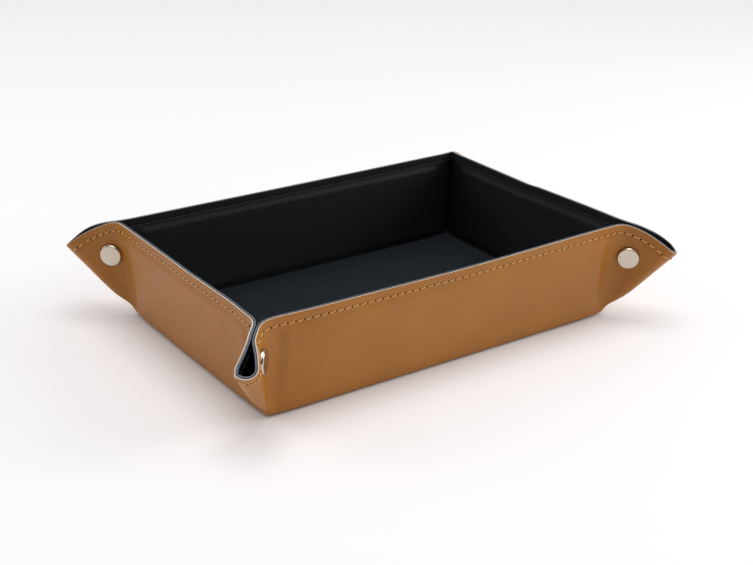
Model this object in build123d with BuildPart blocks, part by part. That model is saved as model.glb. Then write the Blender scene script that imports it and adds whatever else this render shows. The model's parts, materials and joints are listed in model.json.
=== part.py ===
from build123d import *
from math import atan, cos, degrees, radians, sin
import os

os.makedirs("parts", exist_ok=True)

# A valet tray folded from one flat sheet: tan leather outside, black lining inside,
# stiff boards between them. Four corner ears are pinched shut by snap fasteners, and
# opening the snaps lets the four walls and the eight ear halves unfold to a flat sheet.
# X runs along the long walls, Z is up, and the origin is under the middle of the base.

# The sheet and its fold lines
base_length = 182.0  # between the fold lines of the two short walls
base_width = 118.0  # between the fold lines of the two long walls
wall_height = 44.0  # fold line to rim, and the radius of the flat sheet's corners
wall_flare = 7.0  # degrees that a wall leans out when the tray stands folded

# The layers
cover_thickness = 0.9  # tan leather
lining_thickness = 0.9  # black lining
board_thickness = 1.5  # stiffener, which presses both layers out as a soft panel
board_clearance = 0.15
panel_taper = 40.0  # degrees of the soft step round each board
board_corner_radius = 3.0
board_edge_chamfer = 0.3
base_board_inset = 3.0  # fold line to board, on the base
wall_board_foot = 3.0  # fold line to board, on a wall
wall_board_head = 8.0  # board to rim
wall_board_end = 6.5  # board to the corner crease

# The folds: a child leaf turns on a round bead, its parent stops short of it
fold_clearance = 0.4
corner_relief_width = 2.0  # cut at a wall's lower corners, where the leather gathers
corner_relief_height = 11.0
crease_lap = 1.2  # how far the bend beside a wall runs into the wall's own leaf

# The ear's half curve, measured at the rim, from the corner crease to the ear's fold
section_elevation = 66.0  # degrees of the cone's middle ray above the table
ear_root = 5.0  # distance from the base corner where the ear's leather begins
ear_overrun = 1.5  # how far the cone runs past the rim before the rim is cut
pinch_gap = 0.2  # lining to the plane between the two halves
loop_entry_radius = 8.0
loop_slope = 20.0  # degrees at which a half leaves the pinch
loop_radius = 4.5  # round end of the teardrop loop
tip_turn = 80.0  # degrees of the loop's end that belong to the tip
half_ear_sweep = 45.0  # degrees of the flat sheet's corner in each half
drawing_ratio = 1.04  # an arc in the drawing plane, over the same arc on the rim's sphere

# The snap fasteners
snap_distance = 31.0  # base corner to the snap's centre
snap_elevation = 70.0  # degrees above the table
cap_diameter = 10.5
cap_height = 1.7
cap_bevel = 0.45
cap_seat = 0.05  # how far a cap is pressed into the leather
cap_seat_clearance = 0.05  # round the cap, in the leather
post_diameter = 5.0
socket_diameter = 7.6
socket_bore = 4.3
stud_diameter = 3.5
snap_face_gap = 0.08  # either side of the plane between the halves
stud_end_gap = 0.12
snap_hole_clearance = 0.15

# Worked out from the sizes above
sheet_level = cover_thickness + board_thickness / 2
board_rise = board_thickness / 2
fold_relief = max(cover_thickness, lining_thickness) + fold_clearance
half_length = base_length / 2
half_width = base_width / 2
ear_middle = radians(section_elevation)
diagonal_share = sin(radians(45))


def export(builder, name):
    """Labels a finished piece and writes it under the same name."""
    builder.part.label = name
    export_step(builder.part, f"parts/{name}.step")


def reversed_plane(plane):
    """The same plane seen from its other side, with the same Y direction."""
    return Plane(origin=plane.origin, x_dir=-plane.x_dir, z_dir=-plane.z_dir)


def board_outline(length, height, middle, margin):
    """The board's rounded outline, grown by margin, in the open sketch."""
    with Locations((0, middle)):
        RectangleRounded(length + 2 * margin, height + 2 * margin, board_corner_radius + margin)


def press_panel(plane, thickness, length, height, middle):
    """Presses a board's panel out of the open part's layer, and its pocket behind."""
    with BuildSketch(plane.offset(thickness)) as raised:
        board_outline(length, height, middle, thickness)
    extrude(raised.sketch, amount=board_rise, taper=panel_taper)
    with BuildSketch(plane) as pocket:
        board_outline(length, height, middle, board_clearance)
    extrude(pocket.sketch, amount=board_rise, mode=Mode.SUBTRACT)


def make_board(plane, length, height, middle, name):
    """A stiff board in the middle of the sheet, with its edges eased."""
    with BuildPart() as board:
        with BuildSketch(plane.offset(-board_rise)):
            board_outline(length, height, middle, 0)
        extrude(amount=board_thickness)
        inner_face = board.faces().sort_by(Axis(plane.origin, plane.z_dir))[0]
        chamfer(inner_face.edges(), board_edge_chamfer)
    export(board, name)


# The base: both layers stop short of the fold lines, with a board between them
base_plane = Plane(origin=(0, 0, sheet_level), x_dir=(1, 0, 0), z_dir=(0, 0, -1))
base_board_length = base_length - 2 * base_board_inset
base_board_width = base_width - 2 * base_board_inset

for layer_name, layer_plane, layer_thickness in (
    ("base_cover", base_plane, cover_thickness),
    ("base_lining", reversed_plane(base_plane), lining_thickness),
):
    with BuildPart() as base_layer:
        with BuildSketch(layer_plane):
            Rectangle(base_length - 2 * fold_relief, base_width - 2 * fold_relief)
        extrude(amount=layer_thickness)
        press_panel(layer_plane, layer_thickness, base_board_length, base_board_width, 0)
    export(base_layer, layer_name)

make_board(base_plane, base_board_length, base_board_width, 0, "base_board")

# The half curve of an ear is drawn in a plane square to the cone's middle ray, wall_height
# from the base corner: x towards the ear's fold, y away from the plane between the halves.
# It starts at the corner crease, in the plane of the wall.
flare = radians(wall_flare)
crease_out = sin(flare) * diagonal_share
crease_depth = crease_out * cos(ear_middle) + cos(flare) * sin(ear_middle)
crease_x = wall_height * (crease_out * sin(ear_middle) - cos(flare) * cos(ear_middle)) / crease_depth
crease_y = wall_height * crease_out / crease_depth
wall_trace_x = cos(flare) * diagonal_share
wall_trace_y = cos(flare) * diagonal_share * sin(ear_middle) + sin(flare) * cos(ear_middle)
crease_turn = degrees(atan(wall_trace_y / wall_trace_x))

pinch_offset = max(cover_thickness, lining_thickness) + pinch_gap
crease_radius = (crease_y - pinch_offset) / (1 - cos(radians(crease_turn)))
slope = radians(loop_slope)
loop_run = (
    loop_radius * cos(slope) - pinch_offset - loop_entry_radius * (1 - cos(slope))
) / sin(slope)
curved_length = (
    crease_radius * radians(crease_turn)
    + loop_entry_radius * slope
    + loop_radius * (slope + radians(90))
)
pinch_run = wall_height * radians(half_ear_sweep) * drawing_ratio - curved_length - loop_run
tip_start_turn = loop_slope + 90 - tip_turn

# Each leaf of the half curve is a chain of moves: (length,) is a straight run and
# (radius, turn) is an arc, where a positive turn bends it away from the other half
bend_moves = [
    (crease_lap,),
    (crease_radius, crease_turn / 2 - degrees(fold_relief / crease_radius)),
]
ear_moves = [
    (crease_radius, crease_turn / 2),
    (pinch_run,),
    (loop_entry_radius, loop_slope),
    (loop_run,),
    (loop_radius, -(tip_start_turn - degrees(fold_relief / loop_radius))),
]
tip_moves = [(loop_radius, -tip_turn)]


def follow(start, heading, moves):
    """The stations (point, heading) at the start, middle and end of each move."""
    spans = []
    for move in moves:
        stations = [(start, heading)]
        for _ in range(2):
            if len(move) == 1:
                start = start + Vector(cos(heading), sin(heading)) * move[0] / 2
            else:
                radius, turn = move[0], radians(move[1]) / 2
                signed = radius if turn > 0 else -radius
                centre = start + Vector(-sin(heading), cos(heading)) * signed
                heading = heading + turn
                start = centre - Vector(-sin(heading), cos(heading)) * signed
            stations.append((start, heading))
        spans.append((len(move) == 1, stations))
    return spans


def axis_point(moves, start, heading):
    """Where a chain of moves ends, and its heading there."""
    return follow(start, heading, moves)[-1][1][-1]


crease_heading = -radians(crease_turn)
crease_start = (Vector(crease_x, crease_y), crease_heading)
lap_start = (
    crease_start[0] - Vector(cos(crease_heading), sin(crease_heading)) * crease_lap,
    crease_heading,
)
ear_start = axis_point([(crease_radius, crease_turn / 2)], *crease_start)
tip_start = axis_point(ear_moves[:-1] + [(loop_radius, -tip_start_turn)], *ear_start)


def strip(start, moves, thickness, side, scale, bead):
    """The outline of one layer of a leaf: the mid line, its offset by thickness (negative
    for the lining) and, on a leaf that turns, the rounded bead about its own fold."""
    spans = follow(*start, moves)

    def place(station, offset):
        point, heading = station
        point = point + Vector(-sin(heading), cos(heading)) * offset
        return (point.X * scale, point.Y * scale * side)

    with BuildLine() as outline:
        for offset in (0, thickness):
            for straight, (first, middle, last) in spans:
                if straight:
                    Line(place(first, offset), place(last, offset))
                else:
                    ThreePointArc(place(first, offset), place(middle, offset), place(last, offset))
        last = spans[-1][1][-1]
        Line(place(last, 0), place(last, thickness))
        first = spans[0][1][0]
        if bead:
            point, heading = first
            radius = abs(thickness)
            back = Vector(cos(heading), sin(heading)) * -radius
            across = Vector(-sin(heading), cos(heading)) * thickness
            rear = ((point + back).X * scale, (point + back).Y * scale * side)
            shoulder = point + (back + across) * diagonal_share
            shoulder = (shoulder.X * scale, shoulder.Y * scale * side)
            ThreePointArc(place(first, thickness), shoulder, rear)
            Line(rear, place(first, 0))
        else:
            Line(place(first, 0), place(first, thickness))
    return outline.edges()


def cone_leaf(ear_plane, start, moves, thickness, side, bead):
    """A leaf of the ear: a cone from near the base corner, cut by the sphere of the rim."""
    with BuildPart() as leaf:
        for distance in (ear_root, wall_height + ear_overrun):
            with BuildSketch(ear_plane.offset(distance)):
                make_face(strip(start, moves, thickness, side, distance / wall_height, bead))
        loft(ruled=True)
        with Locations(ear_plane.origin):
            Sphere(wall_height, mode=Mode.INTERSECT)
    return leaf


# The four corners: the ear's outward direction, and the walls on its two sides
corners = {
    "front_left": ((-1, -1), "front", "left"),
    "front_right": ((1, -1), "right", "front"),
    "back_right": ((1, 1), "back", "right"),
    "back_left": ((-1, 1), "left", "back"),
}


def ear_frame(corner):
    """The plane at the base corner whose normal is the cone's middle ray."""
    (sign_x, sign_y), _, _ = corners[corner]
    out = Vector(sign_x * diagonal_share, sign_y * diagonal_share, 0)
    up = Vector(0, 0, 1)
    return Plane(
        origin=(sign_x * half_length, sign_y * half_width, sheet_level),
        x_dir=out * sin(ear_middle) - up * cos(ear_middle),
        z_dir=out * cos(ear_middle) + up * sin(ear_middle),
    )


# The walls: outward direction and length along the fold line
walls = {
    "front": ((0, -1), base_length, half_width),
    "right": ((1, 0), base_width, half_length),
    "back": ((0, 1), base_length, half_width),
    "left": ((-1, 0), base_width, half_length),
}
wall_board_height = wall_height - wall_board_foot - wall_board_head
wall_board_middle = wall_board_foot + wall_board_height / 2

for wall, ((out_x, out_y), length, reach) in walls.items():
    out = Vector(out_x, out_y, 0)
    up = Vector(0, 0, 1)
    along = Vector(-out_y, out_x, 0)
    outside = Plane(
        origin=out * reach + up * sheet_level,
        x_dir=along,
        z_dir=out * cos(flare) - up * sin(flare),
    )
    board_length = length - 2 * wall_board_end
    bead_length = length - 2 * corner_relief_width
    for layer_name, layer_plane, layer_thickness, layer_side in (
        ("cover", outside, cover_thickness, 1),
        ("lining", reversed_plane(outside), lining_thickness, -1),
    ):
        with BuildPart() as wall_layer:
            with BuildSketch(layer_plane):
                with Locations((0, wall_height / 2)):
                    Rectangle(length, wall_height)
                for end in (-1, 1):
                    with BuildLine():
                        Polyline(
                            (end * length / 2, 0),
                            (end * (length / 2 - corner_relief_width), 0),
                            (end * length / 2, corner_relief_height),
                            close=True,
                        )
                    make_face(mode=Mode.SUBTRACT)
            extrude(amount=layer_thickness)
            bead_plane = Plane(
                origin=layer_plane.origin - layer_plane.x_dir * bead_length / 2,
                x_dir=layer_plane.z_dir,
                z_dir=layer_plane.x_dir,
            )
            with BuildSketch(bead_plane):
                Circle(layer_thickness)
                Rectangle(
                    layer_thickness,
                    layer_thickness,
                    align=(Align.MIN, Align.MIN),
                    mode=Mode.INTERSECT,
                )
            extrude(amount=bead_length)
            press_panel(layer_plane, layer_thickness, board_length, wall_board_height, wall_board_middle)
            for corner, (_, positive_wall, negative_wall) in corners.items():
                if wall in (positive_wall, negative_wall):
                    side = 1 if wall == positive_wall else -1
                    thickness = layer_side * layer_thickness
                    bend = cone_leaf(ear_frame(corner), lap_start, bend_moves, thickness, side, False)
                    add(bend.part)
        export(wall_layer, f"{wall}_wall_{layer_name}")
    make_board(outside, board_length, wall_board_height, wall_board_middle, f"{wall}_wall_board")

# The ears: on each side of a corner, one leaf from the crease to the loop and a tip leaf
# from there to the ear's fold, which the other half's tip meets. A snap joins the leaves.
leather_share = snap_distance / wall_height
socket_share = (snap_distance - socket_diameter / 2) / wall_height
socket_level = pinch_offset * socket_share - snap_hole_clearance / 2
snap_seat = (pinch_offset + cover_thickness) * leather_share - cap_seat
snap_angle = radians(snap_elevation)


def snap_frame(corner, side):
    """The plane through a snap's centre, between the ear's halves, facing one half."""
    (sign_x, sign_y), _, _ = corners[corner]
    ray = Vector(sign_x * diagonal_share, sign_y * diagonal_share, 0) * cos(snap_angle)
    ray = ray + Vector(0, 0, 1) * sin(snap_angle)
    ear_plane = ear_frame(corner)
    return Plane(
        origin=ear_plane.origin + ray * snap_distance,
        x_dir=ray,
        z_dir=ear_plane.y_dir * side,
    )


def disc(plane, level, depth, diameter, bore=0, mode=Mode.ADD):
    """A round plate or ring of the open part, from a level above the plane."""
    with BuildSketch(plane.offset(level)) as ring:
        Circle(diameter / 2)
        if bore:
            Circle(bore / 2, mode=Mode.SUBTRACT)
    extrude(ring.sketch, amount=depth, mode=mode)


for corner, (_, positive_wall, negative_wall) in corners.items():
    for side, wall, other in ((1, positive_wall, negative_wall), (-1, negative_wall, positive_wall)):
        frame = snap_frame(corner, side)
        # The cap lies along the leather, which leans away from the plane of the ear
        lean = (pinch_offset + cover_thickness) / wall_height
        cap_plane = Plane(
            origin=frame.origin + frame.z_dir * snap_seat,
            x_dir=frame.x_dir + frame.z_dir * lean,
            z_dir=frame.z_dir - frame.x_dir * lean,
        )
        for layer_name, layer_thickness, hole in (
            ("cover", cover_thickness, post_diameter),
            ("lining", -lining_thickness, socket_diameter),
        ):
            with BuildPart() as ear_leaf:
                add(cone_leaf(ear_frame(corner), ear_start, ear_moves, layer_thickness, side, True).part)
                disc(frame, 0, snap_distance, hole + 2 * snap_hole_clearance, mode=Mode.SUBTRACT)
                # The cap presses its own seat into the leather
                seat_diameter = cap_diameter + 2 * cap_seat_clearance
                disc(cap_plane, 0, cap_height, seat_diameter, mode=Mode.SUBTRACT)
            export(ear_leaf, f"{wall}_wall_{other}_ear_{layer_name}")
            tip_leaf = cone_leaf(ear_frame(corner), tip_start, tip_moves, layer_thickness, side, True)
            export(tip_leaf, f"{wall}_wall_{other}_tip_{layer_name}")
        with BuildPart() as snap:
            disc(cap_plane, 0, cap_height, cap_diameter)
            crown = snap.faces().sort_by(Axis(cap_plane.origin, cap_plane.z_dir))[-1]
            chamfer(crown.edges(), cap_bevel)
            disc(frame, socket_level, snap_seat - socket_level + cap_bevel, post_diameter)
            if side == 1:
                disc(frame, snap_face_gap, socket_level - snap_face_gap, socket_diameter, socket_bore)
            else:
                disc(frame, snap_face_gap, socket_level - snap_face_gap, socket_diameter)
                stud_end = socket_level - stud_end_gap
                disc(frame, -stud_end, stud_end + snap_face_gap, stud_diameter)
        export(snap, f"{wall}_wall_{other}_snap")
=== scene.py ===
# %% [markdown]
# # A folding valet tray
# The real tray is one flat sheet with rounded corners: smooth tan leather outside, black
# lining inside, and stiff boards between the two under the base and the walls. Each corner
# is pinched into an ear, and a snap fastener holds the ear shut.
# This lesson dresses the imported model. It starts by loading that model, whose bodies the
# base and the snaps ride on.

import json
from math import ceil, cos, pi, radians, sin

import bpy
import numpy as np
from mathutils import Matrix, Vector


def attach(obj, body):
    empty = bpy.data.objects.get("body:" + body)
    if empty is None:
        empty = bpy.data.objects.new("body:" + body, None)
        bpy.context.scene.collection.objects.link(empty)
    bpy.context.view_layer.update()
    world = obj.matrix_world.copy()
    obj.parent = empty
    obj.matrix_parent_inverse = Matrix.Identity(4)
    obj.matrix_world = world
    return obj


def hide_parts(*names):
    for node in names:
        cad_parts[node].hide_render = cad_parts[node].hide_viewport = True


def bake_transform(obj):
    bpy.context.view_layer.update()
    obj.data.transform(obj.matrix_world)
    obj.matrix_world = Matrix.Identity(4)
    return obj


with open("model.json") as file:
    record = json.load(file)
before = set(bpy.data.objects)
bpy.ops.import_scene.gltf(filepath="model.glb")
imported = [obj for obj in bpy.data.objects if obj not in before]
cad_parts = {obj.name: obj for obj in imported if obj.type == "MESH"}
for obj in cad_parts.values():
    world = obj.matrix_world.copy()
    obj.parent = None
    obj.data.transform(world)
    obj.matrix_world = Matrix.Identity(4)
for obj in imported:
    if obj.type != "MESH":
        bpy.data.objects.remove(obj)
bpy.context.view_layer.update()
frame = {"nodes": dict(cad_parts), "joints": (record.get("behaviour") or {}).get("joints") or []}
MM = 0.001


def add_object(name, data):
    """A new object in the scene that holds a mesh, a curve, a lamp or a camera."""
    made = bpy.data.objects.new(name, data)
    bpy.context.scene.collection.objects.link(made)
    return made


# %% [markdown]
# ## The camera
# The picture is taken from above the near corner. The place and the turns of the camera
# were found by fitting the tray's corners, rims and floor lines, so the base is at the
# picture's own angle. The focal length is in pixels of the picture's width.

# %% Place the camera
picture_width = 753
focal_pixels = 1333.1
camera_place = Vector((-326.4, -464.1, 260.9)) * MM
camera_yaw, camera_pitch, camera_roll = radians(35.37), radians(23.34), radians(0.959)

ahead = Vector((
    sin(camera_yaw) * cos(camera_pitch),
    cos(camera_yaw) * cos(camera_pitch),
    -sin(camera_pitch),
))
level_right = Vector((cos(camera_yaw), -sin(camera_yaw), 0))
level_up = level_right.cross(ahead)
camera_right = level_right * cos(camera_roll) + level_up * sin(camera_roll)
camera_up = level_up * cos(camera_roll) - level_right * sin(camera_roll)

camera_data = bpy.data.cameras.new("camera")
camera_data.lens = focal_pixels / picture_width * camera_data.sensor_width
camera = add_object("camera", camera_data)
turned = Matrix((camera_right, camera_up, -ahead)).transposed().to_4x4()
camera.matrix_world = Matrix.Translation(camera_place) @ turned
bpy.context.scene.camera = camera
print("camera lens:", round(camera_data.lens, 2), "mm")

# %% [markdown]
# ## Shader maths
# Materials are sums of patterns. A small class wraps one output socket and overloads the
# signs, so that `1 - mask * 0.2` adds the Math nodes by itself. One method makes every
# other node: it takes the node's type, its settings, and the values or links of its sockets.


# %% A socket that can be added and multiplied
class Wire:
    """One output socket of a material's node tree."""

    def __init__(self, tree, socket=None):
        self.tree = tree
        self.socket = socket

    def node(self, kind, settings=None, values=None, out=0):
        made = self.tree.nodes.new(kind)
        for name, value in (settings or {}).items():
            if name == "stops":
                set_stops(made.color_ramp, value)
            else:
                setattr(made, name, value)
        for key, value in (values or {}).items():
            if isinstance(value, Wire):
                self.tree.links.new(value.socket, made.inputs[key])
            else:
                made.inputs[key].default_value = value
        return Wire(self.tree, made.outputs[out])

    def math(self, operation, *terms):
        return self.node("ShaderNodeMath", {"operation": operation}, dict(enumerate(terms)))

    def __add__(self, other):
        return self.math("ADD", self, other)

    def __sub__(self, other):
        return self.math("SUBTRACT", self, other)

    def __rsub__(self, other):
        return self.math("SUBTRACT", other, self)

    def __mul__(self, other):
        return self.math("MULTIPLY", self, other)

    __radd__, __rmul__ = __add__, __mul__


def set_stops(ramp, stops):
    """Sets a ramp's stops, given as (place, grey)."""
    while len(ramp.elements) < len(stops):
        ramp.elements.new(1)
    for element, (place, grey) in zip(ramp.elements, stops):
        element.position, element.color = place, (grey, grey, grey, 1)


def new_material(name):
    """A material with one Principled shader: the material, its tree as a wire, its shader."""
    material = bpy.data.materials.new(name)
    material.use_nodes = True
    tree = material.node_tree
    tree.nodes.clear()
    shader = tree.nodes.new("ShaderNodeBsdfPrincipled")
    output = tree.nodes.new("ShaderNodeOutputMaterial")
    tree.links.new(shader.outputs[0], output.inputs[0])
    return material, Wire(tree), shader


def feed(shader, name, value):
    """Sets one socket of a shader to a number, a colour or a wire."""
    if isinstance(value, Wire):
        value.tree.links.new(value.socket, shader.inputs[name])
    else:
        shader.inputs[name].default_value = value


def mixed(wire, first, second, share):
    """A colour between two colours."""
    return wire.node(
        "ShaderNodeMix", {"data_type": "RGBA"}, {0: share, 6: first, 7: second}, out=2
    )


print("shader helpers ready")

# %% [markdown]
# ## The floor and the light
# The tray stands on a white table in a white room. The floor is a large pale plane. Most of
# the light comes from a wide skylight, which draws the soft shadow at the foot of the walls.
# The room adds some, more from beyond the tray's right end, and a weak lamp on each side
# brings out the walls. The camera sees the room as pure white, but smooth faces mirror a
# dark band between the table and the ceiling.

# %% Make the floor, the world and the lamps
bpy.context.scene.view_settings.view_transform = "Standard"
floor_half = 2.5
floor_mesh = bpy.data.meshes.new("floor")
floor_mesh.from_pydata(
    [(-floor_half, -floor_half, 0), (floor_half, -floor_half, 0),
     (floor_half, floor_half, 0), (-floor_half, floor_half, 0)],
    [], [(0, 1, 2, 3)],
)
floor = add_object("floor", floor_mesh)

floor_paper, paper, paper_shader = new_material("pale_table")
feed(paper_shader, "Base Color", (0.91, 0.895, 0.90, 1))
feed(paper_shader, "Roughness", 0.7)
feed(paper_shader, "Specular IOR Level", 0.2)
floor_mesh.materials.append(floor_paper)

world = bpy.data.worlds.new("white_room")
bpy.context.scene.world = world
world.use_nodes = True
sky = Wire(world.node_tree)
world_light = world.node_tree.nodes["Background"]
feed(world_light, "Color", (1, 1, 1, 1))
seen_sky = sky.node("ShaderNodeLightPath", out="Is Camera Ray")
mirrored_sky = sky.node("ShaderNodeLightPath", out="Is Glossy Ray")
way = sky.node("ShaderNodeTexCoord", out="Generated")
height = sky.node("ShaderNodeSeparateXYZ", {}, {0: way}, out="Z")
toward_right = sky.node(
    "ShaderNodeVectorMath", {"operation": "DOT_PRODUCT"}, {0: way, 1: (0.95, 0.1, 0)}, out="Value"
)
room = sky.node("ShaderNodeMapRange", {}, {0: toward_right, 1: -0.8, 2: 0.8, 3: 0.2, 4: 0.6})
band = sky.node(
    "ShaderNodeValToRGB",
    {"stops": [(0.0, 0.6), (0.04, 0.5), (0.1, 0.04), (0.68, 0.06), (0.84, 1.0), (1.0, 1.0)]},
    {0: height},
)
mirrored = band + room.math("POWER", room, 2.0)
strength = room + seen_sky * (1 - room) + mirrored_sky * (mirrored - room)
feed(world_light, "Strength", strength)


def soft_lamp(name, place, target, width, depth, power):
    """A rectangular lamp that looks at a point."""
    data = bpy.data.lights.new(name, "AREA")
    data.shape = "RECTANGLE"
    data.size, data.size_y = width, depth
    data.energy = power
    lamp = add_object(name, data)
    lamp.location = place
    lamp.rotation_euler = (Vector(target) - Vector(place)).to_track_quat("-Z", "Y").to_euler()


soft_lamp("skylight", (0.1, 0.05, 2.4), (0, 0, 0), 1.8, 1.8, 36)
soft_lamp("window_left", (-0.9, 0.65, 0.5), (0, 0, 0.02), 0.6, 0.6, 2.8)
soft_lamp("window_right", (0.7, -0.45, 0.4), (0, 0, 0.02), 0.5, 0.4, 2.4)
print("stage ready")

# %% [markdown]
# ## The sheet as one formula
# Leather bends but doesn't stretch. So the whole tray is one flat sheet whose every point
# (u, v) has one place on the folded tray: on the base, on a wall, or on an ear. An ear is a
# cone about the base corner. Its section is drawn once, from the wall's crease through an
# S-bend into the pinch and round a teardrop loop to the ear's fold. Its loop is a little
# slimmer than in the model's own section.

# %% The sheet's sizes
joint_place = {joint["name"]: joint["pos_m"] for joint in frame["joints"]}
half_length = joint_place["right_wall_fold"][0] / MM
half_width = joint_place["back_wall_fold"][1] / MM
sheet_level = joint_place["right_wall_fold"][2] / MM
wall_height = 44.0
flare = radians(7)
thickness = 0.9  # of either leather
board_rise = 0.75  # half of the board's thickness

half_turn = radians(45)  # the flat sheet's corner that each half of an ear gets
diagonal = cos(pi / 4)
section_elevation = radians(66)
crease_turn = radians(44.543)
crease_radius = 10.1855
loop_entry_radius, loop_slope = 8.0, radians(14)
loop_radius = 4.2
pinch_offset = 1.1  # between the sheet and the mid plane, in the pinch
half_run = 35.94  # from the crease to the fold, along the section
loop_rise = loop_radius * cos(loop_slope) - pinch_offset
loop_run = (loop_rise - loop_entry_radius * (1 - cos(loop_slope))) / sin(loop_slope)
pinch_run = half_run - crease_radius * crease_turn - loop_run - (
    loop_entry_radius * loop_slope + loop_radius * (loop_slope + pi / 2)
)
half_moves = [
    (crease_radius * crease_turn, crease_turn),
    (pinch_run, 0),
    (loop_entry_radius * loop_slope, loop_slope),
    (loop_run, 0),
    (loop_radius * (loop_slope + pi / 2), -loop_slope - pi / 2),
]
print("sheet unfolds to", 2 * (half_length + wall_height), "by", 2 * (half_width + wall_height))

# %% The rays of an ear's half, from the crease to its fold
out_share = sin(flare) * diagonal
sin_middle, cos_middle = sin(section_elevation), cos(section_elevation)
crease_depth = out_share * cos_middle + cos(flare) * sin_middle
crease_start = np.array([
    wall_height * (out_share * sin_middle - cos(flare) * cos_middle) / crease_depth,
    wall_height * out_share / crease_depth,
])


def draw_half(step=0.2):
    """Points of the section in its drawing plane: x towards the fold, y off the mid plane."""
    heading, point = -crease_turn, crease_start
    points = [point]
    for length, turn in half_moves:
        steps = ceil(length / step)
        for _ in range(steps):
            heading += turn / steps / 2
            point = point + length / steps * np.array([cos(heading), sin(heading)])
            heading += turn / steps / 2
            points.append(point)
    return np.array(points)


drawn = draw_half()
rays = np.stack([
    drawn[:, 0] * sin_middle + wall_height * cos_middle,
    drawn[:, 1],
    wall_height * sin_middle - drawn[:, 0] * cos_middle,
], axis=1)
rays = rays / np.linalg.norm(rays, axis=1, keepdims=True)
swept = np.concatenate([[0], np.cumsum(np.linalg.norm(np.diff(rays, axis=0), axis=1))])
ray_turns = swept / swept[-1] * half_turn
print("each half of an ear sweeps", round(float(np.degrees(swept[-1])), 2), "degrees")
print("the section ends", round(float(drawn[-1, 1]), 3), "mm from the mid plane")

# %% [markdown]
# ## Folding and softening
# `folded` gives the place of any point of the flat sheet with perfectly sharp folds. Real
# leather can't fold so sharply: `softened` takes the mean of the places that a small patch
# of the sheet round the point would have. That rounds every fold, and the base corners
# most, without one special case.


# %% Fold the sheet, then soften the folds
# How far the pull of a snap lifts the rim, round each corner: at the end of the short wall,
# on its half of the ear, at the ear's fold, on the other half and at the end of the long wall
lifts = {
    (-1, -1): (0.5, 0.7, 0.9, 0.7, 0.5), (1, -1): (1.8, 2.0, 1.8, 0.6, 1.3),
    (1, 1): (0.3, 0.3, 0.3, 0.3, 0.1), (-1, 1): (0.9, -0.2, 0.4, 0.9, 0.2),
}
lift_reach = 95.0
# How far an ear's rim leans out of the corner's mid plane, towards its short wall
leans = {(-1, -1): 1.2}
lean_reach = 12.0
lean_fade = radians(16)  # turn from the crease where a lean starts to fade, and how far it fades
swell, swell_place = 0.8, 9.0  # how far a fold swells out near the base corner
swell_from = 0.45  # the share of an ear's half that doesn't swell


def ease(x):
    """A smooth step from 0 to 1."""
    x = np.clip(x, 0, 1)
    return x * x * (3 - 2 * x)


def past_base(u, v):
    """How far flat points lie beyond the base, along u and along v."""
    return np.maximum(np.abs(u) - half_length, 0), np.maximum(np.abs(v) - half_width, 0)


def at_corner(u, v, amounts):
    """Picks a corner's amount for each flat point."""
    total = 0
    for (sign_u, sign_v), amount in amounts.items():
        total = total + ((np.sign(u) == sign_u) & (np.sign(v) == sign_v)) * amount
    return total


def pulls(u, v, past_u, past_v):
    """How far each flat point is lifted, and leans, by the pull of its corner's snap."""
    from_corner = np.maximum(half_length - np.abs(u), 0) + np.maximum(half_width - np.abs(v), 0)
    turn = np.arctan2(past_v, past_u)
    share = np.hypot(past_u, past_v) / wall_height
    lifted = 0
    for n in range(5):
        apart = np.abs(turn / half_turn * 2 - n)
        here = at_corner(u, v, {corner: amounts[n] for corner, amounts in lifts.items()})
        lifted = lifted + here * ease(1 - apart)
    lifted = lifted * ease(1 - from_corner / lift_reach) * share
    near = half_turn - np.abs(turn - half_turn)
    leaning = at_corner(u, v, leans) * np.exp(-(from_corner / lean_reach) ** 2) * share
    return lifted, leaning * (1 - ease((near - lean_fade) / lean_fade))


def folded(u, v):
    """The place of flat points on the folded tray, mid-way through the leathers."""
    past_u, past_v = past_base(u, v)
    on_ear = (past_u > 0) & (past_v > 0)
    x = np.minimum(np.abs(u), half_length) + past_u * sin(flare)
    y = np.minimum(np.abs(v), half_width) + past_v * sin(flare)
    z = (past_u + past_v) * cos(flare)
    distance = np.hypot(past_u, past_v)
    turn = np.arctan2(past_v, past_u)
    second = turn > half_turn
    near = np.where(second, pi / 2 - turn, turn)
    out, across, up = (np.interp(near, ray_turns, rays[:, k]) for k in range(3))
    across = np.where(second, -across, across)
    swollen = swell * distance / swell_place * np.exp(1 - distance / swell_place)
    swollen = swollen * ease((near / half_turn - swell_from) / (1 - swell_from)) * on_ear
    out = out * distance + swollen * rays[-1, 2]
    lifted, leaning = pulls(u, v, past_u, past_v)
    x = np.where(on_ear, half_length + (out + across * distance) * diagonal, x) + leaning * diagonal
    y = np.where(on_ear, half_width + (out - across * distance) * diagonal, y) - leaning * diagonal
    z = np.where(on_ear, distance * up - swollen * rays[-1, 0], z) + lifted
    return np.stack([np.copysign(x, u), np.copysign(y, v), z + sheet_level], axis=-1)


fold_softness = 0.5  # spread of the patch that is averaged
corner_softness = 1.1  # more of it at the base corners
corner_reach = 11.0
crease_softness = (1.4, 2.4)  # more of it at the creases of the short and the long walls
crease_reach = 7.0
patch_steps = np.arange(-2, 2.01, 0.5)
patch_shares = np.exp(-patch_steps ** 2 / 2)
patch_shares = patch_shares / patch_shares.sum()


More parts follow.
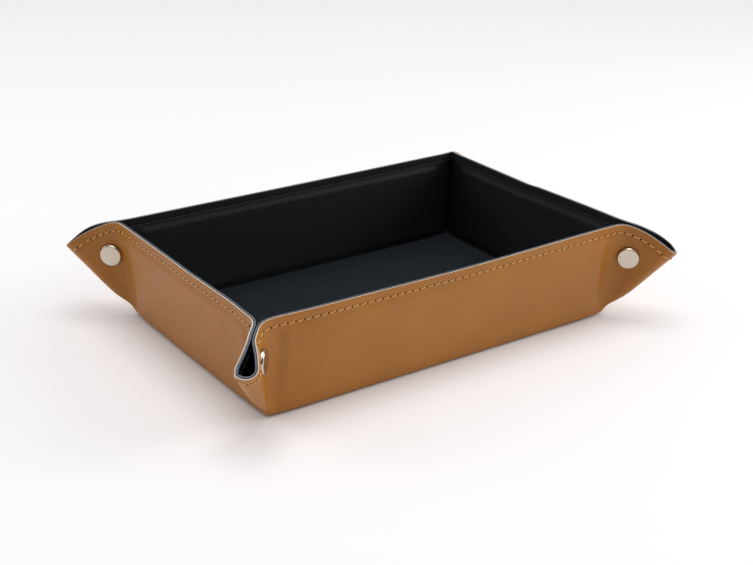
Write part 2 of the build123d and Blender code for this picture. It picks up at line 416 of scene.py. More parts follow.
def softened(u, v):
    """The mean place of a small patch of the sheet round each flat point."""
    past_u, past_v = np.abs(u) - half_length, np.abs(v) - half_width
    corner = np.hypot(past_u, past_v)
    spread = fold_softness + corner_softness * np.exp(-(corner / corner_reach) ** 2)
    for softness, across, height in zip(crease_softness, (past_v, past_u), (past_u, past_v)):
        high = np.clip(height / wall_height, 0, 1) ** 0.5
        spread = spread + softness * high * np.exp(-(across / crease_reach) ** 2)
    place = 0
    for step_u, share_u in zip(patch_steps, patch_shares):
        for step_v, share_v in zip(patch_steps, patch_shares):
            place = place + share_u * share_v * folded(u + step_u * spread, v + step_v * spread)
    return place


print("base corner softened to", softened(np.array([half_length]), np.array([half_width])).round(2))

# %% [markdown]
# ## The leathers' faces
# The boards press both leathers out as soft panels, and the seam draws them in along a
# shallow groove. So each face of each leather lies at its own height above the sheet.

# %% Panels, groove and faces
board_margin, board_foot, board_head, board_end = 3.0, 3.0, 7.0, 6.5
# Where the slope over a board's edge starts outside the edge, and where it ends inside
base_slope, foot_slope, head_slope, end_slope = (1.4, 0.9), (3.0, 1.5), (2.4, 0.8), (3.4, 2.0)
seam_inset = 3.8
seam_height = wall_height - seam_inset
tan_rise = 1.05  # the tan leather stands a little off the board's edge
groove_depth, groove_spread = 0.13, 0.7
fold_bulge, fold_spread = 0.6, 2.4


def raised(beyond, outside, inside):
    """The soft slope over a board's edge, from a distance beyond the edge."""
    return ease((outside - beyond) / (outside + inside))


def pressed(u, v):
    """1 over a board, 0 off it, with a soft slope between."""
    past_u, past_v = np.abs(u) - half_length, np.abs(v) - half_width
    base = raised(past_u + board_margin, *base_slope) * raised(past_v + board_margin, *base_slope)
    total = base
    for height, along in ((past_u, past_v), (past_v, past_u)):
        foot = raised(board_foot - height, *foot_slope)
        head = raised(height - wall_height + board_head, *head_slope)
        total = np.maximum(total, foot * head * raised(along + board_end, *end_slope))
    return total


def from_fold(u, v):
    """Distance from the nearest point of the base, along the flat sheet."""
    return np.hypot(*past_base(u, v))


def groove(u, v):
    return groove_depth * np.exp(-((from_fold(u, v) - seam_height) / groove_spread) ** 2)


def squeezed(u, v):
    """The lining's share of its thickness: the pinch squeezes it towards a base corner."""
    past_u, past_v = past_base(u, v)
    near = half_turn - np.abs(np.arctan2(past_v, past_u) - half_turn)
    on_ear = (past_u > 0) & (past_v > 0)
    pinch = ease(near / (crease_radius * crease_turn / wall_height)) * on_ear
    return 1 - pinch * (1 - np.minimum(from_fold(u, v) / wall_height, 1))


near_crease = radians(40.3125)  # the ear nearest to the camera is creased beside its fold
near_ridge, far_ridge, ridge_spread = 0.8, 0.35, 0.8
ridge_start, ridge_rise = 4.0, 20.0  # distances from the base corner


def creased(u, v):
    """The sharp ridge that folding leaves down each ear, low at the base corner."""
    past_u, past_v = past_base(u, v)
    nearest = (u < 0) & (v < 0)
    line = np.where(nearest, near_crease, half_turn)
    distance = np.hypot(past_u, past_v)
    off_line = distance * np.abs(np.arctan2(past_v, past_u) - line)
    ridge = np.where(nearest, near_ridge, far_ridge) * np.exp(-off_line / ridge_spread)
    return ridge * ease((distance - ridge_start) / ridge_rise)


def bulged(u, v):
    """How far the tan leather stands out along the folds between base and walls."""
    from_line = np.maximum(np.abs(u) - half_length, np.abs(v) - half_width)
    return fold_bulge * np.exp(-((from_line / fold_spread) ** 2))


def tan_faces(u, v):
    """Heights of the tan leather's two faces outside the middle of the sheet."""
    panel = pressed(u, v)
    low = tan_rise * panel + bulged(u, v) * (1 - panel) + creased(u, v)
    return low, low + thickness - groove(u, v)


def black_faces(u, v):
    """Heights of the black lining's two faces: negative, on the inside."""
    low = creased(u, v) - board_rise * pressed(u, v)
    return low, low - thickness * squeezed(u, v) + groove(u, v)


print("seam", seam_inset, "mm from the rim")

# %% [markdown]
# ## Building a leather piece
# The sheet is cut into pieces where it stays flat. Every piece is a closed shell over a grid
# of flat points: an outer face, an inner face, and between them the cut edge at the rim, with
# its corners rubbed round. The shading normals come from the sheet's formula too, so that
# neighbouring pieces shade as one sheet. Each point keeps its flat place as an attribute, for
# the grain.


# %% The sheet's own directions at flat points
def unit(vectors):
    return vectors / np.linalg.norm(vectors, axis=-1, keepdims=True)


class Patch:
    """A grid of flat points with its place, its two directions and its outward direction."""

    def __init__(self, u, v, step=0.3):
        self.u, self.v = u, v
        self.place = softened(u, v)
        self.along_u = (softened(u + step, v) - softened(u - step, v)) / (2 * step)
        self.along_v = (softened(u, v + step) - softened(u, v - step)) / (2 * step)
        self.out = unit(-np.cross(self.along_u, self.along_v))

    def face(self, height, step=0.15):
        """Places, outward directions and heights of a face at a height over the sheet."""
        u, v = self.u, self.v
        level = height(u, v)
        slope_u = (height(u + step, v) - height(u - step, v)) / (2 * step)
        slope_v = (height(u, v + step) - height(u, v - step)) / (2 * step)
        lean = self.along_u * slope_u[..., None] + self.along_v * slope_v[..., None]
        return self.place + self.out * level[..., None], unit(self.out - lean), level


print("a patch knows its own directions")

# %% A closed shell between two faces
edge_round = 0.24  # how far the cut edge's corners are rubbed down


class Shell:
    """Collects the points and faces of one leather piece."""

    def __init__(self):
        self.places, self.squares, self.flats = [], [], []
        self.polygons, self.slots, self.looks = [], [], []
        self.count = 0

    def add_points(self, place, square, flat):
        """Adds points and returns their numbers, in the same arrangement."""
        size = place[..., 0].size
        self.places.append(place.reshape(-1, 3))
        self.squares.append(square.reshape(-1, 3))
        self.flats.append(flat.reshape(-1, 3))
        numbers = self.count + np.arange(size).reshape(place.shape[:-1])
        self.count += size
        return numbers

    def add_faces(self, quads, slot=0, looks=None):
        """Adds four-sided faces: smooth ones, or flat ones if it is given where they look."""
        places = np.concatenate(self.places)[quads]
        toward = np.concatenate(self.squares)[quads].sum(axis=1) if looks is None else looks
        facing = np.cross(places[:, 2] - places[:, 0], places[:, 3] - places[:, 1])
        turned = (facing * toward).sum(axis=1) < 0
        quads = np.where(turned[:, None], quads[:, ::-1], quads)
        self.polygons += quads.tolist()
        self.slots += [slot] * len(quads)
        self.looks += [None] * len(quads) if looks is None else list(looks)

    def finish(self, name, materials):
        """Welds the doubles and makes the object, with its own shading normals."""
        places, squares = np.concatenate(self.places), unit(np.concatenate(self.squares))
        flats = np.concatenate(self.flats)
        _, first, where = np.unique(
            np.round(places, 4), axis=0, return_index=True, return_inverse=True
        )
        where = where.ravel()
        rings, slots, normals = [], [], []
        for polygon, slot, look in zip(self.polygons, self.slots, self.looks):
            ring = list(dict.fromkeys(int(where[k]) for k in polygon))
            if len(ring) < 3:
                continue
            source = {int(where[k]): k for k in polygon}
            rings.append(ring)
            slots.append(slot)
            normals += [tuple(squares[source[k]] if look is None else unit(look)) for k in ring]
        mesh = bpy.data.meshes.new(name)
        mesh.from_pydata((places[first] * MM).tolist(), [], rings)
        flat = mesh.attributes.new("flat_place", "FLOAT_VECTOR", "POINT")
        flat.data.foreach_set("vector", (flats[first] * MM).astype(np.float32).ravel())
        mesh.polygons.foreach_set("material_index", slots)
        mesh.polygons.foreach_set("use_smooth", [True] * len(rings))
        for material in materials:
            mesh.materials.append(material)
        mesh.normals_split_custom_set(normals)
        return add_object(name, mesh)


def grid_quads(numbers):
    """The squares of a grid of point numbers, or of two rows of them."""
    numbers = np.asarray(numbers)
    quads = [numbers[:-1, :-1], numbers[:-1, 1:], numbers[1:, 1:], numbers[1:, :-1]]
    return np.stack([corner.ravel() for corner in quads], axis=1)


def close_end(shell, low, high, away):
    """Closes a shell between the ends of its two faces."""
    shell.add_faces(grid_quads([low, high]), looks=away[:-1] + away[1:] + 1e-9)


def leather_piece(name, patch, low_height, high_height, side, has_rim, materials):
    """One leather between its low face, on the boards, and its high face, which shows.
    side is 1 for the tan outside and -1 for the black inside."""
    shell = Shell()
    flat = np.stack([patch.u, patch.v, np.full(patch.u.shape, side * 1.0)], axis=-1)
    numbers, faces = [], []
    for height, look in ((low_height, -side), (high_height, side)):
        place, square, _ = patch.face(height)
        square = square * look
        faces.append((place.copy(), square))
        if has_rim:
            off = unit(place[-1] - place[-2])
            place[-1] = place[-1] - off * edge_round
        numbers.append(shell.add_points(place, square, flat))
        shell.add_faces(grid_quads(numbers[-1]))
    for edge, inner in ((0, 1), (-1, -2)):
        away = patch.place[:, edge] - patch.place[:, inner]
        close_end(shell, numbers[0][:, edge], numbers[1][:, edge], away)
    close_end(shell, numbers[0][0], numbers[1][0], patch.place[0] - patch.place[1])
    if not has_rim:
        close_end(shell, numbers[0][-1], numbers[1][-1], patch.place[-1] - patch.place[-2])
        return shell.finish(name, materials)
    chain = [numbers[0][-1]]
    for place, square in faces:
        rubbed = unit(off + square[-1])
        chain.append(shell.add_points(place[-1] - square[-1] * edge_round, rubbed, flat[-1]))
    chain.append(numbers[1][-1])
    bare = (1, 1, 0) if side == 1 else (0, 1, 1)  # which strips of the edge show its core
    for slot, *strip in zip(bare, chain, chain[1:]):
        shell.add_faces(grid_quads(strip), slot)
    for column, inner in ((0, 1), (-1, -2)):
        corner = np.array([[ring[column] for ring in chain]])
        shell.add_faces(corner, looks=patch.place[-1:, column] - patch.place[-1:, inner])
    return shell.finish(name, materials)


print("leather shells ready")

# %% [markdown]
# ## Leather
# Both leathers are smooth and finely pebbled. The pebbles are cells about half a millimetre
# across, read from the flat sheet, so they bend with the leather instead of sliding over
# it. A slow mottle shifts the colour a little, and a pale line painted along the nearest ear's
# crease is a painted highlight on its ridge. The cut edges are bare: cream for the tan leather,
# blue grey for the lining.


# %% The leathers' materials
def crease_highlight_paint(wire, flat):
    """1 on the sharp crease of the nearest ear, where a pale line is painted: a painted highlight
    on its ridge.
    """
    past_x, past_y = (
        wire.node("ShaderNodeSeparateXYZ", {}, {0: flat}, out=axis) * -1 - half * MM
        for axis, half in (("X", half_length), ("Y", half_width))
    )
    distance = wire.node("ShaderNodeVectorMath", {"operation": "LENGTH"}, {
        0: wire.node("ShaderNodeCombineXYZ", {}, {0: past_x, 1: past_y})
    }, out="Value")
    off_line = wire.math("ABSOLUTE", wire.math("ARCTAN2", past_y, past_x) - near_crease) * distance
    line = wire.node("ShaderNodeMapRange", {}, {0: off_line, 1: 0.0, 2: 0.5 * MM, 3: 0.8, 4: 0.0})
    return line * wire.node("ShaderNodeMapRange", {}, {0: distance, 1: 8 * MM, 2: 16 * MM})


def noise(wire, place, scale, detail):
    return wire.node(
        "ShaderNodeTexNoise", {}, {"Vector": place, "Scale": scale, "Detail": detail}
    )


def leather_finish(
    name, colour, mottle_colour, roughness, grain_size, grain_depth, shine, painted_highlight=None
):
    """A finely pebbled leather on the flat sheet's coordinates."""
    material, wire, shader = new_material(name)
    flat = wire.node("ShaderNodeAttribute", {"attribute_name": "flat_place"}, out=1)
    cells = wire.node(
        "ShaderNodeTexVoronoi", {"feature": "DISTANCE_TO_EDGE"},
        {"Vector": flat, "Scale": 1 / (grain_size * MM), "Randomness": 0.9},
    )
    pebble = cells.node("ShaderNodeValToRGB", {"stops": [(0.0, 0.0), (0.18, 1.0)]}, {0: cells})
    mottle, fine = noise(wire, flat, 34.0, 3.0), noise(wire, flat, 900.0, 2.0)
    share = wire.node("ShaderNodeMapRange", {}, {0: mottle, 1: 0.35, 2: 0.65})
    base = mixed(wire, (*colour, 1), (*mottle_colour, 1), share)
    if painted_highlight:
        # A pale tan line painted along the nearest ear's crease: painted highlight.
        base = mixed(wire, base, (0.72, 0.42, 0.16, 1), painted_highlight(wire, flat))
    feed(shader, "Base Color", base)
    feed(shader, "Roughness", roughness + (fine - 0.5) * 0.12 + (1 - pebble) * 0.06)
    bump = wire.node(
        "ShaderNodeBump", {}, {"Strength": 0.5, "Distance": grain_depth * MM,
                               "Height": pebble + fine * 0.6},
    )
    feed(shader, "Normal", bump)
    feed(shader, "Specular IOR Level", shine)
    return material


def streaked_finish(name, light, dark, scale, detail, roughness, uneven=0, on_sheet=False):
    """A colour that noise varies, over the flat sheet or over the piece itself."""
    material, wire, shader = new_material(name)
    if on_sheet:
        place = wire.node("ShaderNodeAttribute", {"attribute_name": "flat_place"}, out=1)
    else:
        place = wire.node("ShaderNodeTexCoord", out="Object")
    streak = noise(wire, place, scale, detail)
    feed(shader, "Base Color", mixed(wire, (*dark, 1), (*light, 1), streak))
    feed(shader, "Roughness", roughness + streak * uneven)
    return material


def edge_finish(name, light, dark):
    """A cut edge: fibres run along it, so it is streaked a little and quite dull."""
    return streaked_finish(name, light, dark, 700.0, 3.0, 0.75, on_sheet=True)


# The tan leather carries the painted highlight along the nearest ear's crease.
tan_leather = leather_finish(
    "tan_leather", (0.40, 0.150, 0.011), (0.365, 0.131, 0.008), 0.38, 0.55, 0.05, 0.45,
    crease_highlight_paint,
)
black_lining = leather_finish(
    "black_lining", (0.0042, 0.0062, 0.0085), (0.0034, 0.0052, 0.0072), 0.55, 0.5, 0.04, 0.25
)
# The base's lining is the same black leather as the walls', painted lighter and bluer: a painted
# reflection of the bright room above.
floor_lining = leather_finish(
    "floor_lining", (0.0060, 0.0092, 0.0125), (0.0048, 0.0076, 0.0103), 0.42, 0.5, 0.04, 0.22
)
tan_edge = edge_finish("tan_cut_edge", (0.74, 0.67, 0.59), (0.54, 0.45, 0.35))
black_edge = edge_finish("black_cut_edge", (0.20, 0.22, 0.26), (0.08, 0.09, 0.115))
print("leathers:", tan_leather.name, black_lining.name, floor_lining.name)

# %% [markdown]
# ## The grid lines
# Rows and columns are close together where the sheet bends or a ridge stands, and far
# apart on the flat middle of a panel.

# %% Rows and columns
fine_step = 0.75
strip_depth = 6.0  # how much of the base's margin belongs to a wall's piece


def stations(*stops):
    """Distances from the first stop to the last; each stop is (distance, step up to it)."""
    made = [0.0]
    for distance, step in stops:
        count = max(1, round((distance - made[-1]) / step))
        made += list(np.linspace(made[-1], distance, count + 1)[1:])
    return np.array(made)


rim_rows = stations(
    (6.0, fine_step), (9.0, 1.5), (32.0, 3.3), (38.5, fine_step), (42.2, 0.4), (wall_height, 0.9)
)
strip_rows = -stations((strip_depth, fine_step))[:0:-1]
wall_rows = np.concatenate([strip_rows, rim_rows])


def across_wall(half_reach):
    """Columns from one end of a wall to the other, close together near its ends."""
    half = stations((strip_depth, fine_step), (10.5, fine_step), (16.0, 1.8), (half_reach, 4.4))
    places = half - half_reach
    return np.concatenate([places, -places[-2::-1]])


print("rows:", len(wall_rows), "columns of a long wall:", len(across_wall(half_length)))

# %% [markdown]
# ## The base
# The base's two leathers ride on the base itself. They reach to where the walls' pieces
# take over, just inside the board's edge.

# %% Make the base
def both_leathers(name, patch, has_rim, lining=None):
    """The tan and the black piece over one patch."""
    made = []
    for layer, faces, side, materials in (
        ("tan_leather", tan_faces, 1, [tan_leather, tan_edge]),
        ("black_lining", black_faces, -1, [lining or black_lining, black_edge]),
    ):
        low, high = (lambda u, v, faces=faces, k=k: faces(u, v)[k] for k in (0, 1))
        made.append(leather_piece(f"{name}_{layer}", patch, low, high, side, has_rim, materials))
    return made


base_rows, base_columns = 41, 29
base_u = np.linspace(strip_depth - half_length, half_length - strip_depth, base_rows)
base_v = np.linspace(strip_depth - half_width, half_width - strip_depth, base_columns)
base_patch = Patch(*np.meshgrid(base_u, base_v, indexing="ij"))
# The base's lining gets the lighter copy of the black lining, a painted reflection.
for piece, node, slot in zip(
    both_leathers("base", base_patch, False, floor_lining),
    ("base_cover", "base_lining"), ("tan_leather", "floor_lining"),
):
    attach(piece, "root")
    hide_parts(node)
print("base faces:", len(piece.data.polygons))

# %% [markdown]
# ## The walls
# A wall's piece starts in the base's margin, turns through the soft fold and ends at the
# rim.

# %% Make the walls
walls = {"right": (1, 0), "left": (-1, 0), "back": (0, 1), "front": (0, -1)}
fold_half = 1.7  # half the width of the bending zone, seen along its middle direction


def wall_patch(out_u, out_v, rows, columns):
    """Flat points of the wall that faces (out_u, out_v), by height and place along it."""
    reach, half_reach = (half_length, half_width) if out_u else (half_width, half_length)
    mitred = columns * (1 + np.minimum(rows, 0) / half_reach)
    out = reach + rows
    return Patch(out * out_u, mitred) if out_u else Patch(mitred, out * out_v)


def wall_bend(wall, out_u, out_v):
    """Start and end of the bending zone about a wall's fold."""
    fold = Vector(joint_place[f"{wall}_wall_fold"])
    middle = (pi / 2 - flare) / 2
    across_fold = Vector((out_u * cos(middle), out_v * cos(middle), sin(middle))) * fold_half * MM
    return fold - across_fold, fold + across_fold


def bending_leathers(body, patch, parent, start, end):
    """Both leathers of a body, baked in place, with the model's own pieces hidden; its parent and
    bending zone are not used.
    """
    for piece, layer, slot in zip(
        both_leathers(body, patch, True), ("cover", "lining"), ("tan_leather", "black_lining")
    ):
        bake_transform(piece)
        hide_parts(f"{body}_{layer}")
    return len(piece.data.polygons)


for wall, (out_u, out_v) in walls.items():
    columns = across_wall(half_width if out_u else half_length)
    patch = wall_patch(out_u, out_v, *np.meshgrid(wall_rows, columns, indexing="ij"))
    faces = bending_leathers(f"{wall}_wall", patch, "root", *wall_bend(wall, out_u, out_v))
    print(wall, "wall faces:", faces)

# %% [markdown]
# ## The ears
# Each half of an ear is two pieces. The first runs from the crease to the loop, the second
# goes on round the end of the loop to the ear's fold. They meet on a straight stretch of the
# section, where nothing bends.

# %% Make the ears
split_turn = half_turn * 2 / 3
crease_bend = crease_radius * crease_turn / 2 / half_run * half_turn
tip_arc = radians(80)  # of the loop, from where a tip bends to the ear's fold
tip_bend = half_turn * (1 - loop_radius * tip_arc / half_run)


def ahead_at(turn, nudge=0.02):
    """How the rays of an ear's section change at a turn: (out, across, up)."""
    return np.array([
        np.interp(turn + nudge, ray_turns, ray) - np.interp(turn - nudge, ray_turns, ray)
        for ray in rays.T
    ])


def ear_parts(wall, half, out_u, out_v, first):
    """The two parts of an ear's half: body, turns, columns, parent, and where it bends."""
    corner = Vector((out_u * half_length, out_v * half_width, sheet_level)) * MM
    for part, turns, columns, parent, bend, before, after in (
        ("ear", (0, split_turn), 25, wall, crease_bend, 1.6, 1.6),
        ("tip", (split_turn, half_turn), 17, f"{half}_ear", tip_bend, 1.4, 2.2),
    ):
        out, across, up = ahead_at(bend) * (diagonal, diagonal if first else -diagonal, 1)
        direction = Vector((out_u * (out + across), out_v * (out - across), up)).normalized() * MM
        start, end = corner - direction * before, corner + direction * after
        yield f"{half}_{part}", turns, columns, parent, start, end


def ear_patch(out_u, out_v, first, distance, turn):
    """Flat points of one half of an ear, by distance and turn about its corner."""
    turn = turn if first else pi / 2 - turn
    return Patch(
        out_u * (half_length + distance * np.cos(turn)),
        out_v * (half_width + distance * np.sin(turn)),
    )


halves = []
for out_u in (-1, 1):
    for out_v in (-1, 1):
        names = ("right" if out_u > 0 else "left", "back" if out_v > 0 else "front")
        for first in (True, False):
            wall, other = names if first else names[::-1]
            halves.append((f"{wall}_wall", f"{wall}_wall_{other}", out_u, out_v, first))

for wall, half, out_u, out_v, first in halves:
    for body, turns, columns, parent, start, end in ear_parts(wall, half, out_u, out_v, first):
        grid = np.meshgrid(rim_rows, np.linspace(*turns, columns), indexing="ij")
        bending_leathers(body, ear_patch(out_u, out_v, first, *grid), parent, start, end)
print("ear halves:", len(halves))

# %% [markdown]
# ## The seam
# One line of lockstitch runs all round, orange brown outside and black inside. Geometry
# Nodes set the stitches: the tree cuts a path into equal stitches, turns each one to the
# leather under it, and lays a thread that rises out of one hole and dips into the next. Each
# needle hole is a flat dark disc on the leather: painted shade for the hole's shaded recess.

# %% Build the stitching tree
stitch_pitch = 3.7
thread_width = 0.45
stitch_share = 0.74  # a stitch's length as a share of the pitch
stitch_slant = 0.2  # how far a stitch's ends lie off the seam's line


def stitch_tree():
    """A node tree that turns a path on the leather into a row of stitches."""
    tree = bpy.data.node_groups.new("stitches", "GeometryNodeTree")
    face = tree.interface
    face.new_socket("Path", in_out="INPUT", socket_type="NodeSocketGeometry")
    for name, kind in (
        ("Stitches", "NodeSocketInt"), ("Thread Width", "NodeSocketFloat"),
        ("Stitch Length", "NodeSocketFloat"), ("Leather", "NodeSocketObject"),
        ("Thread", "NodeSocketMaterial"), ("Hole", "NodeSocketMaterial"),
    ):
        face.new_socket(name, in_out="INPUT", socket_type=kind)
    face.new_socket("Seam", in_out="OUTPUT", socket_type="NodeSocketGeometry")
    wire = Wire(tree)
    given = tree.nodes.new("NodeGroupInput")
    inputs = {socket.name: Wire(tree, socket) for socket in given.outputs if socket.name}
    count = inputs["Stitches"]
    width, length = inputs["Thread Width"], inputs["Stitch Length"]

    half_pitch = wire.math("DIVIDE", 0.5, count)
    middle_path = wire.node(
        "GeometryNodeTrimCurve", {"mode": "FACTOR"},
        {"Curve": inputs["Path"], 2: half_pitch, 3: 1 - half_pitch},
    )
    leather = wire.node(
        "GeometryNodeObjectInfo", {"transform_space": "RELATIVE"},
        {"Object": inputs["Leather"]}, out="Geometry",
    )
    normal = wire.node("GeometryNodeInputNormal")
    under = wire.node(
        "GeometryNodeSampleNearestSurface", {"data_type": "FLOAT_VECTOR"},
        {"Mesh": leather, "Value": normal},
    )

    def along(path, number, thing, material):
        """Sets a thing at so many points of a path, square to the leather."""
        thing = wire.node(
            "GeometryNodeSetMaterial", {}, {"Geometry": thing, "Material": inputs[material]}
        )
        points = wire.node(
            "GeometryNodeCurveToPoints", {"mode": "COUNT"}, {"Curve": path, "Count": number}
        )
        turn = wire.node(
            "FunctionNodeAxesToRotation", {"primary_axis": "Z", "secondary_axis": "X"},
            {0: under, 1: Wire(tree, points.socket.node.outputs["Tangent"])},
        )
        return wire.node(
            "GeometryNodeInstanceOnPoints", {},
            {"Points": points, "Instance": thing, "Rotation": turn},
        )

    half_stitch = length * 0.5
    dip, rise, slant = width * -0.55, width * 0.8, width * (stitch_slant / thread_width)
    arch = wire.node(
        "GeometryNodeCurvePrimitiveBezierSegment", {"mode": "POSITION"},
        {"Resolution": 8} | {
            name: wire.node("ShaderNodeCombineXYZ", {}, {0: half_stitch * x, 1: slant * y, 2: z})
            for name, x, y, z in (
                ("Start", -1, -1, dip), ("Start Handle", -0.75, -1, rise),
                ("End Handle", 0.75, 1, rise), ("End", 1, 1, dip),
            )
        },
    )
    ring = wire.node(
        "GeometryNodeCurvePrimitiveCircle", {}, {"Resolution": 6, "Radius": width * 0.5}
    )
    strand = wire.node(
        "GeometryNodeCurveToMesh", {}, {"Curve": arch, "Profile Curve": ring, "Fill Caps": True}
    )
    # Each needle hole is a thin dark disc just on the leather: painted shade standing for the
    # hole's recess.
    hole_shade_disc = wire.node("GeometryNodeMeshCone", {"fill_type": "NGON"}, {
        "Vertices": 10, "Radius Top": width, "Radius Bottom": width * 1.25, "Depth": width * 0.16
    })
    seam = wire.node("GeometryNodeJoinGeometry")
    for piece in (
        along(middle_path, count, strand, "Thread"),
        along(inputs["Path"], count + 1, hole_shade_disc, "Hole"),
    ):
        tree.links.new(piece.socket, seam.socket.node.inputs[0])
    plain = wire.node("GeometryNodeRealizeInstances", {}, {"Geometry": seam})
    smooth = wire.node("GeometryNodeSetShadeSmooth", {}, {"Geometry": plain})
    result = tree.nodes.new("NodeGroupOutput")
    tree.links.new(smooth.socket, result.inputs[0])
    return tree


stitches = stitch_tree()
print("stitch inputs:", [item.name for item in stitches.interface.items_tree])

# %% [markdown]
# ## Sewing the pieces
# The path of a seam is a curve just above the leather, 3.8 mm in from the rim. Every piece
# of leather at the rim gets its own stretch, a whole number of stitches long.

# %% Sew
def thread_finish(name, light, dark):
    """Twisted, lightly waxed thread, with fine specks of light and dark."""
    return streaked_finish(name, light, dark, 2600.0, 1.0, 0.5)


brown_thread = thread_finish("brown_thread", (0.90, 0.52, 0.17), (0.66, 0.32, 0.08))
black_thread = thread_finish("black_thread", (0.010, 0.011, 0.013), (0.004, 0.0045, 0.005))
# The needle holes' dark colours are painted shade for the shaded recesses of the holes.
brown_hole_shade = thread_finish("brown_needle_hole_shade", (0.035, 0.012, 0.005), (0.015, 0.005, 0.002))
black_hole_shade = thread_finish("black_needle_hole_shade", (0.003, 0.003, 0.004), (0.001, 0.001, 0.001))


def sew(name, patch, faces, leather, thread, hole_shade):
    """Stitches along a line of flat points, on one leather: a plain mesh."""
    place, _, _ = patch.face(lambda u, v: faces(u, v)[1])
    curve = bpy.data.curves.new(name, "CURVE")
    curve.dimensions = "3D"
    line = curve.splines.new("POLY")
    line.points.add(len(place) - 1)
    for point, where in zip(line.points, place * MM):
        point.co = (*where, 1)
    path = add_object(f"{name}_path", curve)
    run = float(np.linalg.norm(np.diff(place, axis=0), axis=1).sum())
    count = max(1, round(run / stitch_pitch))
    sewing = path.modifiers.new("sewing", "NODES")
    sewing.node_group = stitches
    values = {
        "Stitches": count, "Thread Width": thread_width * MM,
        "Stitch Length": run / count * stitch_share * MM, "Leather": leather,
        "Thread": thread, "Hole": hole_shade,
    }
    for item in stitches.interface.items_tree:
        if item.name in values:
            sewing[item.identifier] = values[item.name]
    bpy.context.view_layer.update()
    sewn = path.evaluated_get(bpy.context.evaluated_depsgraph_get())
    mesh = bpy.data.meshes.new_from_object(sewn)
    bpy.data.objects.remove(path)
    return add_object(name, mesh), count


def sew_both(body, patch, parent, start, end):
    """The outside and the inside of one stretch of seam, baked in place."""
    total = 0
    for layer, faces, thread, hole_shade in (
        ("tan_leather", tan_faces, brown_thread, brown_hole_shade),
        ("black_lining", black_faces, black_thread, black_hole_shade),
    ):
        leather = bpy.data.objects[f"{body}_{layer}"]
        seam, count = sew(f"{body}_{layer}_seam", patch, faces, leather, thread, hole_shade)
        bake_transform(seam)
        total += count
    return total


sewn_count = 0
wall_points, ear_points = 200, 80  # of each stretch of seam
for wall, (out_u, out_v) in walls.items():
    half_reach = half_width if out_u else half_length
    along = np.linspace(-half_reach, half_reach, wall_points)
    patch = wall_patch(out_u, out_v, np.full_like(along, seam_height), along)
    sewn_count += sew_both(f"{wall}_wall", patch, "root", *wall_bend(wall, out_u, out_v))

for wall, half, out_u, out_v, first in halves:
    for body, turns, _, parent, start, end in ear_parts(wall, half, out_u, out_v, first):
        patch = ear_patch(out_u, out_v, first, seam_height, np.linspace(*turns, ear_points))
        sewn_count += sew_both(body, patch, parent, start, end)
print("stitches:", sewn_count)

# %% [markdown]
# ## The snap fasteners
# A snap's cap is pressed from thin sheet and plated with nickel: a flat face with a round
# shoulder, rolled under at its edge. Behind the leather its post carries a socket on one
# half of the ear and a stud on the other. Each is turned on a lathe here: one profile spun
# about the snap's axis. Handling has left faint smudges on the plating.

# %% Turn the snaps
nickel = streaked_finish(
    "polished_nickel", (0.62, 0.54, 0.45), (0.52, 0.45, 0.37), 180.0, 4.0, 0.13, 0.10
)
nickel.node_tree.nodes["Principled BSDF"].inputs["Metallic"].default_value = 1.0
cap_radius, cap_height = 5.25, 2.1
shoulder_width, shoulder_depth = 0.8, 1.3  # the cap's round shoulder
rolled_edge = 0.3
post_radius, stud_flange, socket_ring, socket_bore = 2.5, 3.8, 3.4, 2.15
snap_distance, snap_elevation = 29.8, 70.0
cap_seat = 0.25  # how far the cap's rolled edge sinks into the leather


def arc(centre, radius, start, end, steps):
    """Points of an arc in the profile's plane, angles in degrees."""
    turns = np.radians(np.linspace(start, end, steps + 1))
    return [(centre[0] + radius * np.cos(t), centre[1] + radius * np.sin(t)) for t in turns]


def spin_profile(profile, steps=48):
    """Places and faces of a profile of (radius, level) points spun about its axis."""
    turns = np.linspace(0, 2 * pi, steps, endpoint=False)
    places, rings = [], []
    for radius, level in profile:
        if radius < 1e-6:
            rings.append([len(places)] * steps)
            places.append((0, 0, level))
            continue
        rings.append(list(range(len(places), len(places) + steps)))
        places += [(radius * np.cos(t), radius * np.sin(t), level) for t in turns]
    faces = []
    for low, high in zip(rings, rings[1:]):
        for k in range(steps):
            after = (k + 1) % steps
            face = list(dict.fromkeys((low[k], low[after], high[after], high[k])))
            if len(face) > 2:
                faces.append(face)
    return places, faces


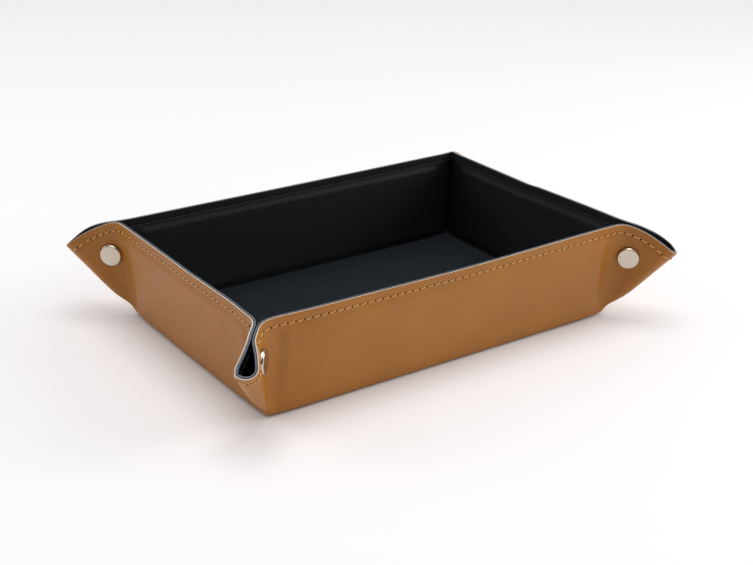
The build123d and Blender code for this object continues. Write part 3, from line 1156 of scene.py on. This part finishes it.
def snap_profile(post_end, has_stud):
    """From the middle of the cap's face out over its shoulder, and back along the post."""
    profile = [(0, cap_height), (1.5, cap_height - 0.01), (3.0, cap_height - 0.04)]
    profile += [
        (cap_radius + shoulder_width * (x - 1), cap_height - 0.07 + shoulder_depth * (y - 1))
        for x, y in arc((0, 0), 1, 86, 0, 9)
    ]
    profile += arc((cap_radius - rolled_edge, rolled_edge), rolled_edge, 0, -90, 4)
    profile += [(post_radius, 0), (post_radius, post_end + 0.75)]
    if has_stud:
        profile += [
            (stud_flange - 0.2, post_end + 0.7), (stud_flange, post_end + 0.5),
            (stud_flange - 0.2, post_end + 0.3), (2.0, post_end + 0.2),
        ]
        return profile + arc((0.75, post_end - 0.6), 1.0, 40, -90, 6) + [(0, post_end - 1.6)]
    profile += arc((socket_ring, post_end + 0.4), 0.4, 90, -90, 6)
    return profile + [
        (socket_bore + 0.25, post_end + 0.05), (socket_bore, post_end + 0.3),
        (socket_bore, post_end + 0.7), (0, post_end + 0.7),
    ]


ray_elevations = np.degrees(np.arctan2(rays[:, 2], rays[:, 0]))
snap_turn = float(np.interp(-snap_elevation, -ray_elevations, ray_turns))
for wall, half, out_u, out_v, first in halves:
    spot = ear_patch(out_u, out_v, first, snap_distance, np.array([snap_turn]))
    axis, middle = Vector(spot.out[0]), Vector(spot.place[0])
    seat = middle + axis * (thickness - cap_seat)
    # The post goes down to the plane between the two halves
    across = Vector((out_u, -out_v, 0)) * (diagonal if first else -diagonal)
    from_plane = across.dot(seat - Vector((out_u * half_length, out_v * half_width, 0)))
    turned = axis.to_track_quat("Z", "Y").to_matrix()
    places, faces = spin_profile(snap_profile(-from_plane, not first))
    mesh = bpy.data.meshes.new(f"{half}_snap_fastener")
    mesh.from_pydata([(turned @ Vector(p) + seat) * MM for p in places], [], faces)
    mesh.polygons.foreach_set("use_smooth", [True] * len(faces))
    mesh.set_sharp_from_angle(angle=radians(50))
    mesh.materials.append(nickel)
    snap = add_object(f"{half}_snap_fastener", mesh)
    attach(snap, f"{half}_ear")
    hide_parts(f"{half}_snap")
print("snaps:", len(halves))

# %% [markdown]
# ## The boards
# The boards stay inside, between the leathers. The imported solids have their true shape, so
# they only get the look of grey-brown board, with short fibres pressed flat.

# %% Finish the boards
pressed_board = streaked_finish(
    "pressed_board", (0.34, 0.27, 0.19), (0.20, 0.15, 0.10), 900.0, 5.0, 0.9
)
for board in ["base_board"] + [f"{wall}_wall_board" for wall in walls]:
    for slot in frame["nodes"][board].material_slots:
        slot.material = pressed_board
print("boards finished")
